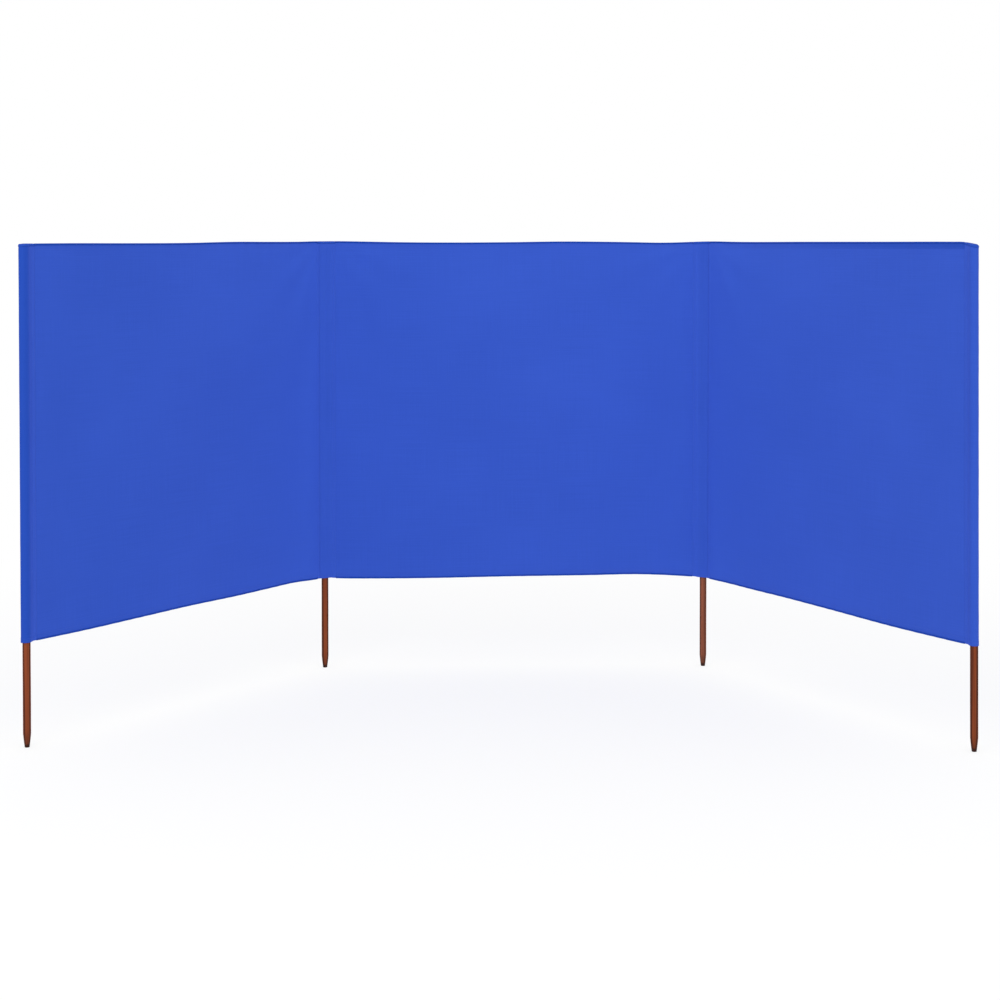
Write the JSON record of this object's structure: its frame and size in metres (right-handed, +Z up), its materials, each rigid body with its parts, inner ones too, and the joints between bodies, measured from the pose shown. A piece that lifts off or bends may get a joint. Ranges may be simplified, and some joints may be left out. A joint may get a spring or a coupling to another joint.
{
  "type": "beach windbreak",
  "caption": "Beach windbreak of plain cloth bays sewn round tapered wooden poles; the outer bays swing round the inner poles to make a shelter.",
  "frame": {"origin": "centre of the flat tip of the left inner pole", "axes": "+Z up along the poles, +X along the middle bay from the left inner pole to the right inner pole, -Y to the front, where the wings come forward"},
  "size_m": [2.8329, 1.1859, 1.4974],
  "materials": {
    "cloth": "matt plain-weave polyester cloth, mid blue",
    "hem": "the same cloth folded double and sewn, a shade darker",
    "wood": "red-brown stained softwood dowel, dull"
  },
  "bodies": {
    "middle": {"middle_panel": "cloth", "middle_top_hem": "hem", "middle_bottom_hem": "hem", "left_inner_pole": "wood", "left_inner_sleeve": "cloth", "left_inner_cap": "hem", "right_inner_pole": "wood", "right_inner_sleeve": "cloth", "right_inner_cap": "hem"},
    "left_wing": {"left_panel": "cloth", "left_top_hem": "hem", "left_bottom_hem": "hem", "left_end_pole": "wood", "left_end_sleeve": "cloth", "left_end_cap": "hem"},
    "right_wing": {"right_panel": "cloth", "right_top_hem": "hem", "right_bottom_hem": "hem", "right_end_pole": "wood", "right_end_sleeve": "cloth", "right_end_cap": "hem"}
  },
  "joints": [
    {"name": "left_wing_swing", "type": "hinge", "parent": "middle", "child": "left_wing", "pos_m": [0, 0, 0.9], "axis": [0, 0, 1], "range_deg": [-170.5, 65.5]},
    {"name": "right_wing_swing", "type": "hinge", "parent": "middle", "child": "right_wing", "pos_m": [1.333, 0, 0.9], "axis": [0, 0, -1], "range_deg": [-178.3, 57.7]}
  ]
}
